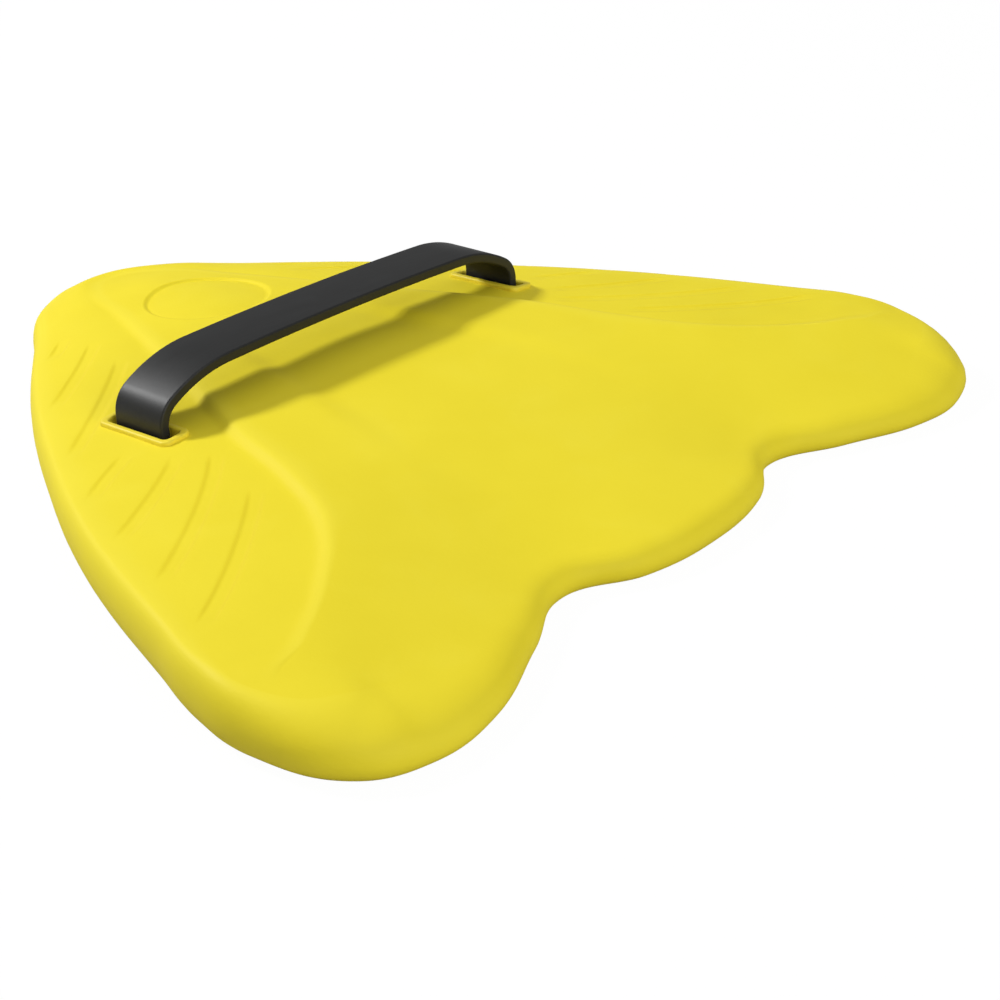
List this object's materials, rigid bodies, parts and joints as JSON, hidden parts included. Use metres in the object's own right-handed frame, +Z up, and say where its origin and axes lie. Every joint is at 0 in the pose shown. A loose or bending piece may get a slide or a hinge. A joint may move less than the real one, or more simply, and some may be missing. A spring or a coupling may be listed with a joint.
{
  "type": "swimming kickboard",
  "caption": "Swept-wing foam swimming kickboard with finger grooves beside a raised deck and a flat rubber hand strap held in lipped slots.",
  "frame": {"origin": "on the floor below the middle of the board's bounding box, with the board lying on its flat sole", "axes": "+Y towards the nose, +X across the wings along the strap, +Z up out of the deck"},
  "size_m": [0.4, 0.3702, 0.0546],
  "materials": {
    "board_foam": "matte moulded foam skin",
    "strap_rubber": "satin",
    "liner_plastic": "satin",
    "plate_plastic": "matte",
    "bar_steel": "plain"
  },
  "bodies": {
    "board": {"board_body": "board_foam", "slot_liner_left": "liner_plastic", "slot_liner_right": "liner_plastic", "anchor_plate_left": "plate_plastic", "anchor_plate_right": "plate_plastic"},
    "strap": {"hand_strap": "strap_rubber", "anchor_bar_left": "bar_steel", "anchor_bar_right": "bar_steel"}
  },
  "joints": [
    {"name": "strap_slide", "type": "slide", "parent": "board", "child": "strap", "axis": [0, 0, 1], "range_m": [-0.005, 0]}
  ]
}
